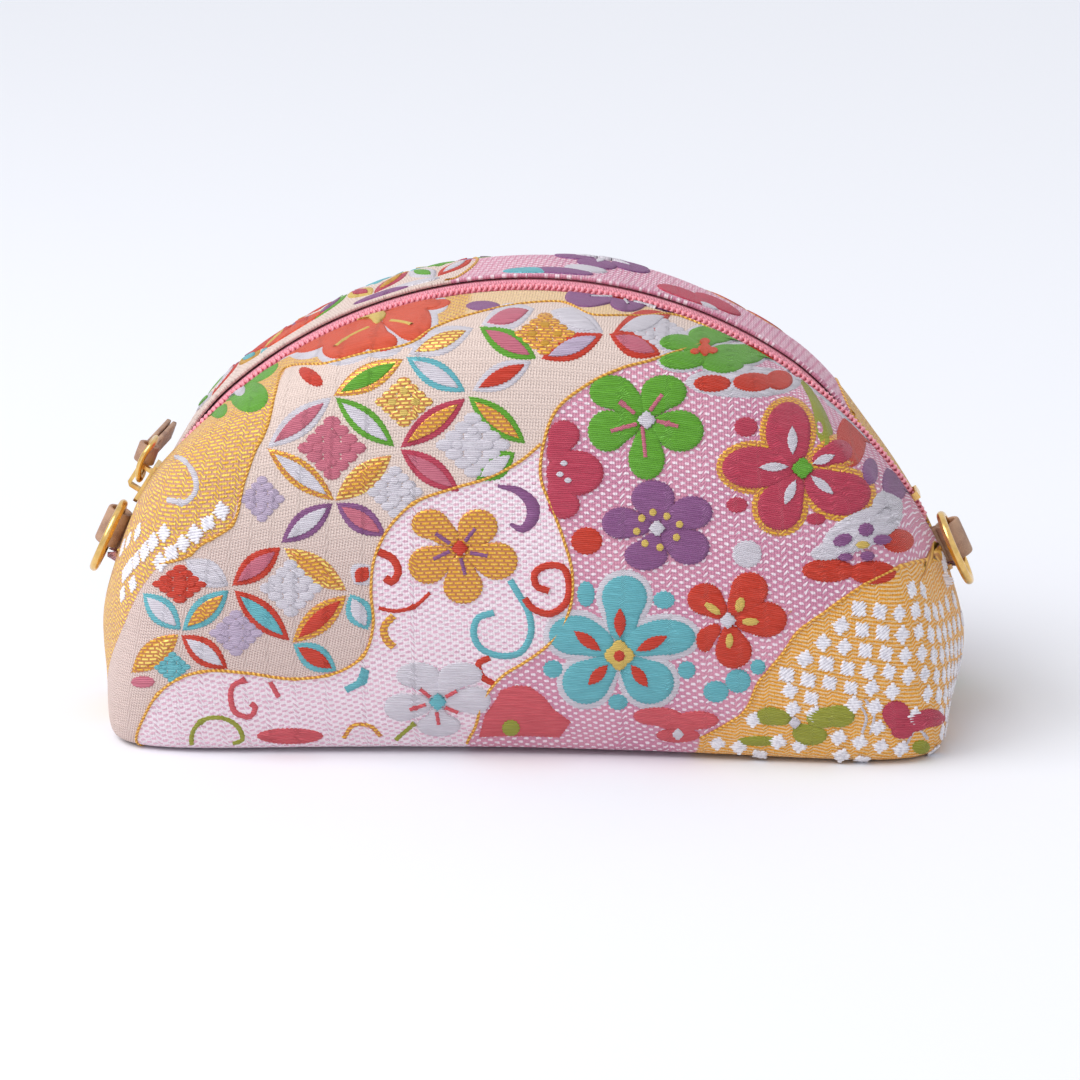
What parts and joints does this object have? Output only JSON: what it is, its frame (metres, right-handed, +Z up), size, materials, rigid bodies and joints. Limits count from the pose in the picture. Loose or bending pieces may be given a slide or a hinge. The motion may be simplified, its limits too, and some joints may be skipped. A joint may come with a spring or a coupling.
{
  "type": "zipped brocade pouch",
  "caption": "Dome-shaped brocade pouch with a boxed base, a coil zip along its top arc, an arched pull ring with a leather pull, and a leather tab with a gold ring at each zip end.",
  "frame": {"origin": "middle of the base's lower face", "axes": "+Z up, +X along the zip's arc towards its closed-off right end, -Y towards the front panel"},
  "size_m": [0.2028, 0.0908, 0.0998],
  "materials": {
    "brocade_front": "woven brocade with satin floats and gold thread",
    "brocade_back": "woven brocade with satin floats and gold thread",
    "lining_cloth": "plain weave",
    "zip_tape": "woven tape",
    "zip_nylon": "dyed nylon",
    "leather": "smooth",
    "gold_plate": "polished plating"
  },
  "bodies": {
    "pouch": {"front_shell": "brocade_front", "back_shell": "brocade_back", "front_lining": "lining_cloth", "back_lining": "lining_cloth", "zip_tape_front": "zip_tape", "zip_tape_back": "zip_tape", "zip_coil_front": "zip_nylon", "zip_coil_back": "zip_nylon", "top_stop_front": "gold_plate", "top_stop_back": "gold_plate", "bottom_stop": "gold_plate", "left_tab": "leather", "right_tab": "leather"},
    "slider": {"zip_slider": "gold_plate"},
    "pull_ring": {"pull_ring": "gold_plate"},
    "leather_pull": {"leather_pull": "leather"},
    "left_ring": {"left_ring": "gold_plate"},
    "right_ring": {"right_ring": "gold_plate"}
  },
  "joints": [
    {"name": "zip_run", "type": "hinge", "parent": "pouch", "child": "slider", "pos_m": [0, 0, -0.0045], "axis": [0, 1, 0], "range_deg": [0, 111], "deforming": ["zip_coil_front", "zip_coil_back", "zip_tape_front", "zip_tape_back"]},
    {"name": "pull_swing", "type": "hinge", "parent": "slider", "child": "pull_ring", "pos_m": [-0.09005, 0, 0.05311], "axis": [0, 1, 0], "range_deg": [-75, 0]},
    {"name": "strap_swing", "type": "hinge", "parent": "pull_ring", "child": "leather_pull", "pos_m": [-0.08926, 0.00397, 0.05774], "axis": [0.3665, 0, 0.9304], "range_deg": [0, 100]},
    {"name": "left_ring_swing", "type": "hinge", "parent": "pouch", "child": "left_ring", "pos_m": [-0.09677, 0, 0.04114], "axis": [-0.4266, 0, -0.9045], "range_deg": [0, 180]},
    {"name": "right_ring_swing", "type": "hinge", "parent": "pouch", "child": "right_ring", "pos_m": [0.09677, 0, 0.04114], "axis": [-0.4266, 0, 0.9045], "range_deg": [0, 180]}
  ]
}
